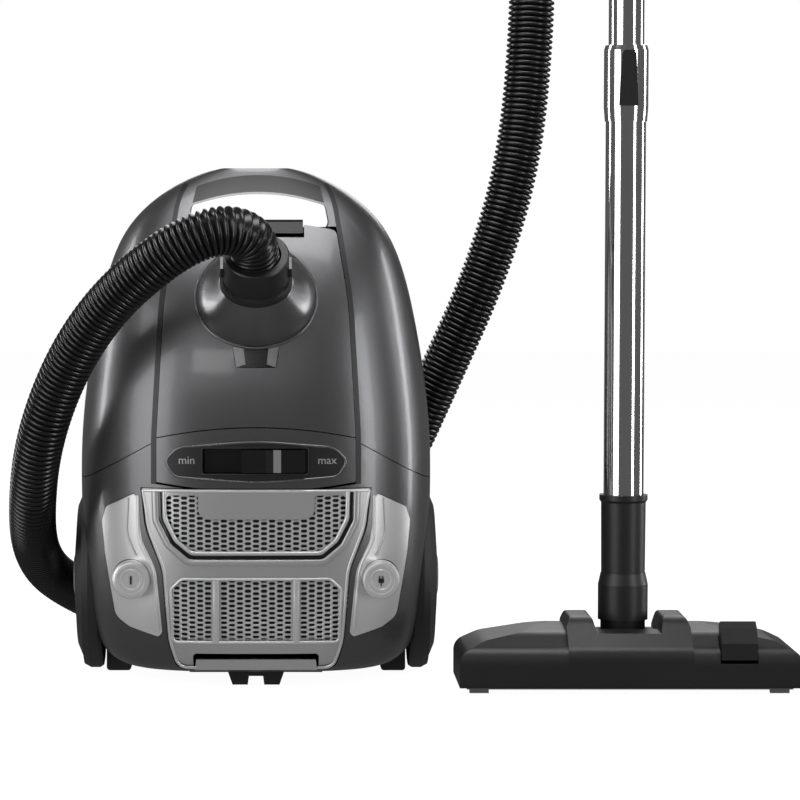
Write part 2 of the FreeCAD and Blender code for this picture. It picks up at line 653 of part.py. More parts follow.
def cord_path(points, report=""):
    """Straight runs joined by tangent arcs as large as their runs allow."""
    edges, here = [], points[0]
    for before, corner, after in zip(points, points[1:], points[2:]):
        inward, onward = (before - corner), (after - corner)
        reach = 0.45 * min(inward.Length, onward.Length)
        inward, onward = inward.normalize(), onward.normalize()
        half = inward.getAngle(onward) / 2
        radius = reach * math.tan(half)
        enter, leave = corner + inward * reach, corner + onward * reach
        middle = corner + (inward + onward).normalize() * (radius / math.sin(half) - radius)
        edges.append(Part.LineSegment(here, enter).toShape())
        edges.append(Part.Arc(enter, middle, leave).toShape())
        here = leave
        if report:
            print(report, "turn %.0f, radius %.0f" % (180 - math.degrees(2 * half), radius))
    edges.append(Part.LineSegment(here, points[-1]).toShape())
    return Part.Wire(edges)


def pipe(points, radius, report=""):
    path = cord_path(points, report)
    start = (points[1] - points[0]).normalize()
    ring = Part.Wire(Part.Circle(points[0], start, radius).toShape())
    tube = path.makePipeShell([ring], True, True)
    if report:
        print(report, "length %.1f, volume ratio %.4f"
              % (path.Length, tube.Volume / (math.pi * radius ** 2 * path.Length)))
    return tube


feature("hose", pipe(ROUTE, size("hose_radius"), "hose"))

# ---------------------------------------------------------------- wand
wand = ("wand_across", "wand_back", 0)
turned("lower_tube", rectangle("outer_tube - tube_wall", "tube_foot + 0.3", "outer_tube", "tube_top"), wand)
turned("tube_collar",
       (("inner_tube + 0.35", "tube_top + 0.1"), ("outer_tube", "tube_top + 0.1"), ("outer_tube", "tube_top - 12"),
        ("outer_tube + 0.8", "tube_top - 12"), (18.75, "tube_top"), (18.75, "collar_top"), (17.6, "collar_top + 4"),
        ("inner_tube + 0.35", "collar_top + 4")), wand)
tube_blank = turned("tube_blank", rectangle("inner_tube - tube_wall", "inner_foot", "inner_tube", "inner_top"), wand)
notches = [cylinder("notch_%d" % i, 6, 40, ("wand_across - 20", "wand_back - inner_tube - 5.3", 562 + 18 * i),
                    TO_RIGHT) for i in range(14)]
boolean("upper_tube", "Cut", tube_blank, joined("notches", notches))
plate("tube_button", "XZ_Plane", ((-8, 492), (8, 492), (6.2, 536), (3.5, 538.5), (-3.5, 538.5), (-6.2, 536)),
      4.2, ("wand_across", "wand_back - 19.2", 0))

top = V(size("wand_across"), size("wand_back"), size("inner_top") - 6)
HANDLE = (top, top + V(0, 0, 78), V(301, -66, 968), V(272, 12, 962), V(248, 75.5, 900), V(248, 75.5, 816))
handle_shell = pipe(HANDLE, 19.0).cut(pipe([top + V(0, 0, -20)] + list(HANDLE[1:-1]) + [V(248, 75.5, 796)], 15.6))
feature("wand_handle", handle_shell)
turned("hose_end_cuff",
       ((21.0, 0), (24.5, 0), (25, 4), (25, 30), (22.5, 52), (16, 52), (16, 28.3), (21.0, 28.3)),
       (248, 75.5, 764))

# ---------------------------------------------------------------- neck of the floor head
turned("neck_tube", ((16, 96), (18.6, 96), (19, 156), (20.5, 158), (20.5, 162.5), ("outer_tube + 0.3", 162.5),
                                 ("outer_tube + 0.3", 160), (14, 160), (14, 156)), wand)
elbow = turned("elbow", ((14, 56), (21.2, 56), (21.2, 86), (19, 95.9), (14, 95.9)), wand)
knuckle = cylinder("knuckle", "pivot_radius", 50, ("wand_across - 25", "wand_back", "pivot_height"), TO_RIGHT)
post = cylinder("neck_post", 19, "56.5 - pivot_height", (wand[0], wand[1], "pivot_height"))
duct = cylinder("neck_duct", 11, 90, (wand[0], wand[1], "pivot_height - 30"))
pin_bore = cylinder("pin_bore", "4 + running", 60, ("wand_across - 30", "wand_back", "pivot_height"), TO_RIGHT)
boolean("neck_elbow", "Cut", joined("neck_blank", (elbow, knuckle, post)), joined("neck_bores", (duct, pin_bore)))

# ---------------------------------------------------------------- floor head
across, mid = size("wand_across"), size("wand_back")
half, ahead, behind = size("head_half"), size("head_front"), size("head_rear")
profile = [(ahead, 6, 3), (ahead, 36, 16), (ahead + 30, 50, 30), (behind - 12, 53, 10), (behind, 40, 10),
           (behind, 6, 3)]
face_outline = [(-half, 4, 3), (half, 4, 3), (half, 34, 12), (122, 44, 30), (83, 51, 30), (52, 54),
                (49, 62.5, 4), (30, 62.5, 4), (27, 50), (-27, 50), (-30, 62.5, 4), (-49, 62.5, 4),
                (-52, 54), (-83, 51, 30), (-122, 44, 30), (-half, 34, 12)]
wing_profile = [(ahead, 6, 3), (ahead, 36, 14), (ahead + 34, 62.5, 26), (behind - 10, 62.5, 14),
                (behind, 40, 10), (behind, 6, 3)]
face = front_prism([(x + across,) + tuple(r) for x, *r in face_outline], -200, -40)
lows = side_prism(profile, across - half, across + half)
wings = side_prism(wing_profile, across - 52, across + 52)
head = lows.fuse(wings).common(face)
hollow = Part.makeBox(2 * half - 12, 74, 30, V(across - half + 6, ahead + 10, 4))
hollow = hollow.cut(Part.makeBox(2 * half, 200, 40, V(across - half, -100, 30)))
bay = Part.makeBox(54, 90, 60, V(across - 27, mid - 22, 12))
head = head.cut(hollow).cut(bay)
head = head.cut(Part.makeCylinder(4, 70, V(across - 35, mid, size("pivot_height")), V(1, 0, 0)))
pedal_gap = Part.makeBox(31.4, 24, 40, V(across + 74.3, ahead - 1, 27))
head = head.cut(pedal_gap)
feature("head_shell", biggest(head))
sole = box("sole_blank", "2 * head_half - 12.8", 73.2, 3.2, ("wand_across - head_half + 6.4", "head_front + 10.4", 4))
openings = [box("mouth_cut", "2 * head_half - 40", 12, 10, ("wand_across - head_half + 20", "head_front + 45", 0))]
strips = []
for word, at in (("front", "head_front + 24"), ("rear", "head_front + 66")):
    openings.append(box(word + "_slot", "2 * head_half - 40", 8, 10,
                        ("wand_across - head_half + 20", at + " - 1.5", 0)))
    strips.append(box(word + "_brush", "2 * head_half - 44", 5, 9, ("wand_across - head_half + 22", at, 7.6)))
for word, at in (("left", "wand_across - 100"), ("right", "wand_across + 92")):
    strips.append(box(word + "_bridge", 8, 46, 3.5, (at, "head_front + 24.5", 13)))
joined("brush_carrier", strips)
pads = [box("pad_%d" % i, 16, 6, 4, ("wand_across + %d" % x, "head_front + %d" % y, 0.4))
        for i, (x, y) in enumerate(((-134, 14), (118, 14), (-134, 76), (118, 76)))]
sole_full = joined("sole_full", [sole] + pads)
boolean("sole_plate", "Cut", sole_full, joined("sole_openings", openings))
plate("pedal", "YZ_Plane", (("head_front", 30), ("head_front - 0.6", 44), ("head_front + 6", 56),
                            ("head_front + 14", 61), ("head_front + 21", 57), ("head_front + 21", 40)), 30,
      ("wand_across + 75", 0, 0))
cylinder("pivot_pin", 4.0, 66, ("wand_across - 33", "wand_back", "pivot_height"), TO_RIGHT)

# ---------------------------------------------------------------- check and write
NODES = (
    "chassis", "upper_frame", "rear_housing", "carry_handle", "handle_grip", "trim_strips", "right_pod", "left_pod",
    "control_panel", "exhaust_panel", "upper_grille", "lower_grille", "lid", "indicator_window", "inlet_boss",
    "inlet_seal", "hose_connector", "right_release", "left_release", "lid_latch", "power_slider",
    "power_button", "rewind_button", "filter_latch", "parking_slot", "right_wheel", "left_wheel",
    "right_tyre", "left_tyre", "right_hub_cap", "left_hub_cap", "wheel_axles", "caster_fork",
    "caster_wheel", "bag_chamber", "dust_bag", "bag_holder", "motor_filter", "motor_housing", "motor_rotor",
    "cable_reel", "reel_axle", "hepa_filter", "circuit_board", "cable_grommet", "housing_screws", "hose",
    "lower_tube", "tube_collar", "upper_tube", "tube_button", "wand_handle", "hose_end_cuff", "neck_tube",
    "neck_elbow", "head_shell", "sole_plate", "brush_carrier", "pedal", "pivot_pin",
)
doc.recompute()
faults = [o.Label for o in doc.Objects if "Invalid" in o.State or "Error" in o.State]
for name in NODES:
    part = doc.getObjectsByLabel(name)[0]
    if part.Shape.isNull() or not part.Shape.isValid() or not part.Shape.Solids:
        faults.append(name)
if faults:
    raise RuntimeError("these objects failed: " + ", ".join(faults))
os.makedirs("parts", exist_ok=True)
for name in NODES:
    doc.getObjectsByLabel(name)[0].Shape.exportStep("parts/" + name + ".step")
print(len(NODES), "nodes written")
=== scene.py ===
"""Looks of a canister vacuum cleaner on its rear end, round its fixed CAD frame. Metres, +Z up."""
import math

import bmesh
import bpy
from mathutils import Matrix, Vector


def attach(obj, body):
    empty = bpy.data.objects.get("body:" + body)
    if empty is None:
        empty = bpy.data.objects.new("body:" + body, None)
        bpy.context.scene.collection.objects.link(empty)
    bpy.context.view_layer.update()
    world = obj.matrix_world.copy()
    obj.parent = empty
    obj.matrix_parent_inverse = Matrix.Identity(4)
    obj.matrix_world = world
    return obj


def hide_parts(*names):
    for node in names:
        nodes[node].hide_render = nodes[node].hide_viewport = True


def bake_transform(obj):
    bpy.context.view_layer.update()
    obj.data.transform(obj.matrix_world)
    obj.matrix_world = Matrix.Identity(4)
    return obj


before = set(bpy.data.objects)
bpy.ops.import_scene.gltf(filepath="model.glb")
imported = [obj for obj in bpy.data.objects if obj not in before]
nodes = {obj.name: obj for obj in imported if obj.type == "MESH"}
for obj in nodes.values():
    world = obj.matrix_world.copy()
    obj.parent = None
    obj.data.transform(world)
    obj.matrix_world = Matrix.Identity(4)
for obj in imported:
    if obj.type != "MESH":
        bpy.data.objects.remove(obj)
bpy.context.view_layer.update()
scene = bpy.context.scene
MM = 0.001


# ---------------------------------------------------------------- camera and stage
EYE = (0, -2.971, 0.4175)
DROP = math.radians(3.48)


def make_camera():
    data = bpy.data.cameras.new("camera")
    data.sensor_width = 36
    data.lens = 152.2
    data.shift_x = 0.18
    data.clip_end = 50
    camera = bpy.data.objects.new("camera", data)
    scene.collection.objects.link(camera)
    camera.location = EYE
    camera.rotation_euler = (math.radians(90) - DROP, 0, 0)
    scene.camera = camera


def area_light(name, at, aim, width, height, power):
    data = bpy.data.lights.new(name, "AREA")
    data.shape = "RECTANGLE"
    data.size, data.size_y = width, height
    data.energy = power
    lamp = bpy.data.objects.new(name, data)
    scene.collection.objects.link(lamp)
    lamp.location = at
    lamp.rotation_euler = (Vector(aim) - Vector(at)).to_track_quat("-Z", "Y").to_euler()


def make_world():
    """White to the eye, and a dim studio to everything that reflects or is lit."""
    world = bpy.data.worlds.new("studio")
    world.use_nodes = True
    tree = world.node_tree
    tree.nodes.clear()
    out = tree.nodes.new("ShaderNodeOutputWorld")
    mix = tree.nodes.new("ShaderNodeMixShader")
    path = tree.nodes.new("ShaderNodeLightPath")
    seen = tree.nodes.new("ShaderNodeBackground")
    room = tree.nodes.new("ShaderNodeBackground")
    seen.inputs["Color"].default_value = (1, 1, 1, 1)
    seen.inputs["Strength"].default_value = 1.0
    room.inputs["Color"].default_value = (1, 1, 1, 1)
    room.inputs["Strength"].default_value = 0.1
    tree.links.new(path.outputs["Is Camera Ray"], mix.inputs[0])
    tree.links.new(room.outputs[0], mix.inputs[1])
    tree.links.new(seen.outputs[0], mix.inputs[2])
    tree.links.new(mix.outputs[0], out.inputs["Surface"])
    scene.world = world


def make_floor():
    mesh = bpy.data.meshes.new("floor")
    mesh.from_pydata([(-6, -6, 0), (6, -6, 0), (6, 6, 0), (-6, 6, 0)], [], [(0, 1, 2, 3)])
    floor = bpy.data.objects.new("floor", mesh)
    scene.collection.objects.link(floor)
    paper = bpy.data.materials.new("floor_paper")
    paper.use_nodes = True
    shader = paper.node_tree.nodes["Principled BSDF"]
    shader.inputs["Base Color"].default_value = (0.16, 0.16, 0.16, 1)
    shader.inputs["Roughness"].default_value = 0.9
    shader.inputs["Emission Color"].default_value = (1, 1, 1, 1)
    shader.inputs["Emission Strength"].default_value = 0.96
    mesh.materials.append(paper)
    floor.visible_glossy = False


make_camera()
make_world()
make_floor()
area_light("left_wall", (-1.5, -1.5, 0.8), (0.1, 0, 0.6), 1.3, 2.0, 24)
area_light("right_strip", (1.7, -1.4, 0.8), (0.1, 0, 0.6), 0.35, 2.0, 17)
area_light("left_edge", (-1.6, 0.5, 0.7), (0, 0, 0.25), 0.3, 1.6, 12)
area_light("right_edge", (1.9, 0.5, 0.7), (0.1, 0, 0.25), 0.3, 1.6, 14)
area_light("top_box", (0.0, -0.5, 2.2), (0.05, 0, 0.2), 1.4, 0.8, 24)
area_light("front_box", (-0.5, -3.0, 1.9), (0.1, 0, 0.2), 0.7, 0.5, 7)
area_light("back_box", (0.3, 2.2, 1.4), (0.1, 0, 0.3), 1.6, 1.2, 14)
scene.view_settings.view_transform = "Standard"


# ---------------------------------------------------------------- materials
def surface(name, colour, metallic=0.0, roughness=0.4, grain=900.0, depth=0.05, spread=0.08, coat=0.0,
            mottle=0.12):
    """Moulded, painted or plated finish, with fine grain and a little wander in gloss and tone."""
    made = bpy.data.materials.new(name)
    made.use_nodes = True
    tree = made.node_tree
    shader = tree.nodes["Principled BSDF"]
    place = tree.nodes.new("ShaderNodeTexCoord")
    fine = tree.nodes.new("ShaderNodeTexNoise")
    fine.inputs["Scale"].default_value = grain
    fine.inputs["Detail"].default_value = 3
    broad = tree.nodes.new("ShaderNodeTexNoise")
    broad.inputs["Scale"].default_value = 14
    broad.inputs["Detail"].default_value = 4
    for noise in (fine, broad):
        tree.links.new(place.outputs["Object"], noise.inputs["Vector"])
    gloss = tree.nodes.new("ShaderNodeMapRange")
    gloss.inputs["To Min"].default_value = max(0.02, roughness - spread)
    gloss.inputs["To Max"].default_value = roughness + spread
    tree.links.new(broad.outputs["Fac"], gloss.inputs["Value"])
    tree.links.new(gloss.outputs["Result"], shader.inputs["Roughness"])
    tone = tree.nodes.new("ShaderNodeMix")
    tone.data_type = "RGBA"
    tone.inputs["A"].default_value = tuple(c * (1 - mottle) for c in colour) + (1,)
    tone.inputs["B"].default_value = tuple(min(1, c * (1 + mottle)) for c in colour) + (1,)
    tree.links.new(fine.outputs["Fac"], tone.inputs["Factor"])
    tree.links.new(tone.outputs["Result"], shader.inputs["Base Color"])
    bump = tree.nodes.new("ShaderNodeBump")
    bump.inputs["Strength"].default_value = depth
    bump.inputs["Distance"].default_value = 0.0004
    tree.links.new(fine.outputs["Fac"], bump.inputs["Height"])
    tree.links.new(bump.outputs["Normal"], shader.inputs["Normal"])
    shader.inputs["Metallic"].default_value = metallic
    shader.inputs["Coat Weight"].default_value = coat
    shader.inputs["Coat Roughness"].default_value = 0.08
    return made


GRAPHITE = surface("graphite_paint", (0.12, 0.12, 0.124), 0.85, 0.34, 2600, 0.12, 0.03, 0.25, 0.35)
BOSS_PAINT = surface("boss_paint", (0.17, 0.17, 0.175), 0.85, 0.28, 2600, 0.1, 0.03, 0.2, 0.3)
SILVER = surface("silver_paint", (0.42, 0.42, 0.425), 0.7, 0.36, 2200, 0.08, 0.03, 0.1, 0.12)
BRIGHT = surface("bright_silver", (0.62, 0.62, 0.625), 0.7, 0.34, 2200, 0.08, 0.03, 0.1, 0.1)
BLACK = surface("black_plastic", (0.007, 0.007, 0.0075), 0.0, 0.4, 1500, 0.25, 0.06)
GLOSSY = surface("black_gloss", (0.005, 0.005, 0.0055), 0.0, 0.14, 900, 0.02, 0.03, 0.3)
RUBBER = surface("soft_rubber", (0.010, 0.010, 0.010), 0.0, 0.55, 1100, 0.3, 0.06)
HOSE = surface("hose_plastic", (0.005, 0.005, 0.0055), 0.0, 0.27, 700, 0.08, 0.05)
CHROME = surface("chrome", (0.86, 0.86, 0.87), 1.0, 0.09, 500, 0.01, 0.02, 0.0, 0.02)
STEEL = surface("steel", (0.55, 0.55, 0.56), 1.0, 0.3, 1200, 0.1, 0.05)
PAPER = surface("filter_paper", (0.75, 0.73, 0.68), 0.0, 0.85, 300, 0.5, 0.05)
BOARD = surface("board", (0.03, 0.16, 0.07), 0.0, 0.45, 600, 0.1, 0.05)
BRISTLE = surface("bristle", (0.03, 0.03, 0.03), 0.0, 0.8, 2500, 0.9, 0.05)

FINISHES = {
    GRAPHITE: ("lid", "upper_frame", "rear_housing", "carry_handle", "control_panel"),
    BOSS_PAINT: ("inlet_boss",),
    SILVER: ("exhaust_panel", "filter_latch", "left_hub_cap", "right_hub_cap"),
    BRIGHT: ("left_pod", "right_pod", "power_button", "rewind_button"),
    BLACK: ("chassis", "handle_grip", "trim_strips", "parking_slot", "hose_connector",
            "lid_latch", "left_wheel", "right_wheel", "caster_fork", "bag_chamber", "bag_holder",
            "motor_housing", "cable_reel", "tube_button", "wand_handle", "hose_end_cuff", "neck_tube",
            "neck_elbow", "pedal", "head_shell"),
    GLOSSY: ("power_slider", "left_release", "right_release", "indicator_window"),
    RUBBER: ("inlet_seal", "left_tyre", "right_tyre", "caster_wheel", "cable_grommet"),
    CHROME: ("lower_tube", "tube_collar", "upper_tube"),
    STEEL: ("wheel_axles", "reel_axle", "housing_screws", "motor_rotor", "sole_plate", "pivot_pin"),
    PAPER: ("motor_filter", "hepa_filter", "dust_bag"),
    BOARD: ("circuit_board",),
    BRISTLE: ("brush_carrier",),
}
for finish, names in FINISHES.items():
    for name in names:
        mesh = nodes[name].data
        mesh.materials.clear()
        mesh.materials.append(finish)


# ---------------------------------------------------------------- the housing's outer surface
# Height, half width, front reach and shoulder of the housing, as the CAD sections have them.
STATIONS = (
    (0.012, 0.100, -0.112, -0.040), (0.015, 0.117, -0.124, -0.034), (0.024, 0.1305, -0.135, -0.026),
    (0.042, 0.140, -0.144, -0.019), (0.085, 0.148, -0.1515, -0.015), (0.140, 0.151, -0.1543, -0.015),
    (0.205, 0.151, -0.1538, -0.015), (0.260, 0.1459, -0.1472, -0.016), (0.310, 0.1375, -0.1315, -0.019),
    (0.355, 0.1262, -0.1095, -0.024), (0.390, 0.1095, -0.086, -0.030), (0.418, 0.0805, -0.064, -0.034),
    (0.432, 0.0555, -0.051, -0.035), (0.440, 0.030, -0.0435, -0.036),
)


def station(z, column):
    """Cubic through the four nearest sections."""
    at = next((i for i in range(1, len(STATIONS)) if STATIONS[i][0] >= z), len(STATIONS) - 1)
    low = min(max(at - 2, 0), len(STATIONS) - 4)
    near = STATIONS[low:low + 4]
    total = 0.0
    for i, here in enumerate(near):
        weight = 1.0
        for j, other in enumerate(near):
            if i != j:
                weight *= (z - other[0]) / (here[0] - other[0])
        total += weight * here[column]
    return total


def skin_y(x, z):
    """Y of the housing's bowed front at a place seen from the front."""
    half, front, shoulder = station(z, 1), station(z, 2), station(z, 3)
    across = min(abs(x) / half, 0.999)
    return shoulder + (front - shoulder) * (1 - across ** 3) ** (1 / 3)


def skin(x, z, out=0.0):
    """A point on the front, lifted off it along its normal."""
    step = 0.0005
    dx = (skin_y(x + step, z) - skin_y(x - step, z)) / (2 * step)
    dz = (skin_y(x, z + step) - skin_y(x, z - step)) / (2 * step)
    normal = Vector((dx, -1, dz)).normalized()
    return Vector((x, skin_y(x, z), z)) + normal * out


# ---------------------------------------------------------------- mesh helpers
def piece(name, verts, faces, finish, body, smooth=40, hides=()):
    """A finished piece, with shared corners, that rides on a body and may stand for CAD nodes."""
    mesh = bpy.data.meshes.new(name)
    mesh.from_pydata([tuple(v) for v in verts], [], faces)
    shape = bmesh.new()
    shape.from_mesh(mesh)
    bmesh.ops.remove_doubles(shape, verts=shape.verts, dist=1e-6)
    bmesh.ops.recalc_face_normals(shape, faces=shape.faces)
    for face in shape.faces:
        face.smooth = True
    for edge in shape.edges:
        if len(edge.link_faces) == 2 and edge.calc_face_angle(0) > math.radians(smooth):
            edge.smooth = False
    shape.to_mesh(mesh)
    shape.free()
    made = bpy.data.objects.new(name, mesh)
    scene.collection.objects.link(made)
    mesh.materials.append(finish)
    if body:
        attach(made, body)
    if hides:
        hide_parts(*hides)
    return made


def rounded(corners, steps=6):
    """Points of a closed outline in (x, z), each corner rounded by its third number."""
    points = []
    flat = [Vector((c[0], c[1])) for c in corners]
    for i, corner in enumerate(corners):
        here, before, after = flat[i], flat[i - 1], flat[(i + 1) % len(flat)]
        radius = corner[2] if len(corner) > 2 else 0
        if not radius:
            points.append(here)
            continue
        inward, onward = (before - here).normalized(), (after - here).normalized()
        half = inward.angle(onward) / 2
        reach = radius / math.tan(half)
        centre = here + (inward + onward).normalized() * (radius / math.sin(half))
        enter, leave = here + inward * reach - centre, here + onward * reach - centre
        turn = enter.angle_signed(leave)
        for k in range(steps + 1):
            spin = Matrix.Rotation(-turn * k / steps, 2)
            points.append(centre + spin @ enter)
    return points


def along(points, closed, step=3 * MM):
    """The outline again, with points no further apart than the step."""
    dense = []
    pairs = list(zip(points, points[1:] + points[:1])) if closed else list(zip(points, points[1:]))
    for start, end in pairs:
        count = max(1, int((end - start).length / step))
        dense += [start.lerp(end, k / count) for k in range(count)]
    return dense if closed else dense + [points[-1]]


def bead(name, points, profile, finish, body, closed=True):
    """A moulded strip that follows an outline on the housing; profile is (sideways, out) pairs."""
    points = along(points, closed)
    count = len(points)
    verts, faces = [], []
    for i, here in enumerate(points):
        before = points[i - 1] if closed or i else here
        after = points[(i + 1) % count] if closed or i < count - 1 else here
        run = (after - before).normalized()
        side = Vector((run.y, -run.x))
        for sideways, out in profile:
            spot = here + side * sideways
            verts.append(skin(spot.x, spot.y, out))
    width = len(profile)
    for i in range(count if closed else count - 1):
        for j in range(width - 1):
            a, b = i * width + j, ((i + 1) % count) * width + j
            faces.append((a, a + 1, b + 1, b))
    if not closed:
        faces.append(tuple(range(width)))
        faces.append(tuple(range((count - 1) * width, count * width)))
    return piece(name, verts, faces, finish, body)


def arch_profile(width, height, sink=0.6 * MM, steps=6):
    """A rounded ridge's section."""
    rise = [(width / 2 * math.cos(math.pi * k / steps), height * math.sin(math.pi * k / steps))
            for k in range(steps + 1)]
    return [(width / 2, -sink)] + rise + [(-width / 2, -sink)]


# ---------------------------------------------------------------- hose
A = math.radians(46)
INLET = Vector((0, -math.cos(A), math.sin(A)))
COLLAR = Vector((0, -0.150, 0.345))
ROUTE = (
    COLLAR + INLET * 0.0083, COLLAR + INLET * 0.041,
    (-0.009, -0.191, 0.385), (-0.025, -0.199, 0.389), (-0.047, -0.202, 0.384), (-0.079, -0.194, 0.366),
    (-0.124, -0.165, 0.327), (-0.161, -0.134, 0.272), (-0.186, -0.104, 0.205), (-0.195, -0.052, 0.138),
    (-0.195, 0.028, 0.096), (-0.180, 0.096, 0.066), (-0.128, 0.134, 0.035), (-0.064, 0.142, 0.0215),
    (0.004, 0.139, 0.030), (0.072, 0.129, 0.080), (0.126, 0.112, 0.160), (0.168, 0.092, 0.256),
    (0.208, 0.079, 0.348), (0.236, 0.074, 0.446), (0.247, 0.075, 0.560), (0.248, 0.075, 0.680),
    (0.248, 0.0755, 0.792),
)
HOSE_RADIUS = 0.0205
RIB_PITCH = 0.0049


def hose_line():
    """Points of the hose's smooth centreline."""
    curve = bpy.data.curves.new("hose_line", "CURVE")
    curve.dimensions = "3D"
    curve.resolution_u = 24
    spline = curve.splines.new("NURBS")
    spline.points.add(len(ROUTE) - 1)
    for point, at in zip(spline.points, ROUTE):
        point.co = (*at, 1)
    spline.order_u = 3
    spline.use_endpoint_u = True
    guide = bpy.data.objects.new("hose_line", curve)
    scene.collection.objects.link(guide)
    line = bpy.data.meshes.new_from_object(guide)
    points = [v.co.copy() for v in line.vertices]
    bpy.data.objects.remove(guide)
    bpy.data.meshes.remove(line)
    return points


def even(points, step):
    """The line again at even steps."""
    lengths = [0.0]
    for start, end in zip(points, points[1:]):
        lengths.append(lengths[-1] + (end - start).length)
    count = round(lengths[-1] / step)
    spaced, at = [], 0
    for k in range(count + 1):
        want = lengths[-1] * k / count
        while at < len(points) - 2 and lengths[at + 1] < want:
            at += 1
        share = (want - lengths[at]) / max(lengths[at + 1] - lengths[at], 1e-9)
        spaced.append(points[at].lerp(points[at + 1], share))
    return spaced, lengths[-1]


def make_hose():
    """Corrugated tube: each rib rises round and the groove between ribs is narrow."""
    rib = ((0.0, 0.84), (0.14, 0.93), (0.3, 0.99), (0.5, 1.0), (0.7, 0.99), (0.86, 0.93))
    line, length = even(hose_line(), RIB_PITCH)
    sides = 36
    verts, faces = [], []
    up = Vector((1, 0, 0))
    for start, end in zip(line, line[1:]):
        run = (end - start).normalized()
        up = (up - run * up.dot(run)).normalized()
        across = run.cross(up)
        for share, reach in rib:
            centre = start.lerp(end, share)
            for k in range(sides):
                turn = 2 * math.pi * k / sides
                spoke = up * math.cos(turn) + across * math.sin(turn)
                verts.append(centre + spoke * HOSE_RADIUS * reach)
    rings = len(verts) // sides
    for i in range(rings - 1):
        for k in range(sides):
            n = (k + 1) % sides
            faces.append((i * sides + k, i * sides + n, (i + 1) * sides + n, (i + 1) * sides + k))
    faces.append(tuple(range(sides)))
    faces.append(tuple(range((rings - 1) * sides, rings * sides)))
    hose = piece("suction_hose", verts, faces, HOSE, None, 60, ("hose",))
    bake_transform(hose)


make_hose()

# ---------------------------------------------------------------- honeycomb grilles
COLUMN = 6.75 * MM
ROW = 4.25 * MM


def inside(point, outline):
    """Whether a point lies in a closed outline."""
    hit = False
    for a, b in zip(outline, outline[1:] + outline[:1]):
        if (a.y > point.y) != (b.y > point.y):
            hit ^= point.x < a.x + (point.y - a.y) * (b.x - a.x) / (b.y - a.y)
    return hit


def honeycomb(name, outline, depth, node, grow=1.06):
    """A curved plate of flattened hexagon holes, behind an opening."""
    middle = sum(outline, Vector((0, 0))) / len(outline)
    wide = [middle + (p - middle) * grow for p in outline]
    left, right = min(p.x for p in wide), max(p.x for p in wide)
    low, high = min(p.y for p in wide), max(p.y for p in wide)
    cell = ((3.9, 0), (2.85, 2.125), (-2.85, 2.125), (-3.9, 0), (-2.85, -2.125), (2.85, -2.125))
    lip = ((3.15, 0), (2.2, 1.55), (-2.2, 1.55), (-3.15, 0), (-2.2, -1.55), (2.2, -1.55))
    hole = ((2.85, 0), (1.95, 1.32), (-1.95, 1.32), (-2.85, 0), (-1.95, -1.32), (1.95, -1.32))
    rings = ((cell, 0.0), (lip, 0.0), (hole, 0.35), (hole, 1.8), (cell, 1.8))
    verts, faces = [], []
    for i in range(int((left - middle.x) / COLUMN) - 1, int((right - middle.x) / COLUMN) + 2):
        for j in range(int((low - middle.y) / ROW) - 1, int((high - middle.y) / ROW) + 2):
            centre = Vector((middle.x + i * COLUMN, middle.y + (j + 0.5 * (i % 2)) * ROW))
            if not inside(centre, wide):
                continue
            base = len(verts)
            for ring, sink in rings:
                for x, z in ring:
                    verts.append(skin(centre.x + x * MM, centre.y + z * MM, -depth - sink * MM))
            for level in range(len(rings) - 1):
                for k in range(6):
                    n = (k + 1) % 6
                    faces.append((base + level * 6 + k, base + level * 6 + n,
                                  base + level * 6 + 6 + n, base + level * 6 + 6 + k))
    piece(name, verts, faces, BRIGHT, "exhaust_door", 25, (node,))


def outline_mm(corners):
    """An outline given in millimetres as (x, z, radius)."""
    return rounded([tuple(v * MM for v in c) for c in corners])


UPPER = outline_mm(((75.5, 166, 4), (74.8, 147, 12), (66, 129, 12), (54, 119, 10), (-54, 119, 10),
                    (-66, 129, 12), (-74.8, 147, 12), (-75.5, 166, 4)))
LOWER = outline_mm(((69, 42.3, 3), (70.6, 86, 5), (62, 94.2, 5), (-62, 94.2, 5), (-70.6, 86, 5),
                    (-69, 42.3, 3)))
honeycomb("upper_honeycomb", UPPER, 2.8 * MM, "upper_grille")
honeycomb("lower_honeycomb", LOWER, 2.8 * MM, "lower_grille")


# ---------------------------------------------------------------- softened edges on the CAD nodes
def ease(name, width, angle):
    """Round the sharp edges of a CAD node."""
    bevel = nodes[name].modifiers.new("eased", "BEVEL")
    bevel.width = width * MM
    bevel.segments = 3
    bevel.limit_method = "ANGLE"
    bevel.angle_limit = math.radians(angle)


EASED = {"head_shell": 3.0, "pedal": 1.6, "hose_connector": 1.0, "tube_collar": 1.2,
         "hose_end_cuff": 1.2, "neck_tube": 0.8, "neck_elbow": 1.0, "lid_latch": 0.8, "power_slider": 0.8, "tube_button": 0.8,
         "right_release": 0.6, "left_release": 0.6, "filter_latch": 0.8, "parking_slot": 0.8}
for name, width in EASED.items():
    ease(name, width, 32)
for side in ("right", "left"):
    for part in ("tyre", "wheel", "hub_cap"):
        ease(side + "_" + part, 1.6, 28)


# ---------------------------------------------------------------- lips, ribs and panels on the housing
def shifted(points, out):
    """The closed outline moved outwards, away from its middle, by a distance."""
    count = len(points)
    turn = sum((b.x - a.x) * (b.y + a.y) for a, b in zip(points, points[1:] + points[:1]))
    sign = 1 if turn > 0 else -1
    moved = []
    for i in range(count):
        run = (points[(i + 1) % count] - points[i - 1]).normalized()
        moved.append(points[i] + Vector((-run.y, run.x)) * out * sign)
    return moved


GRID = 7 * MM


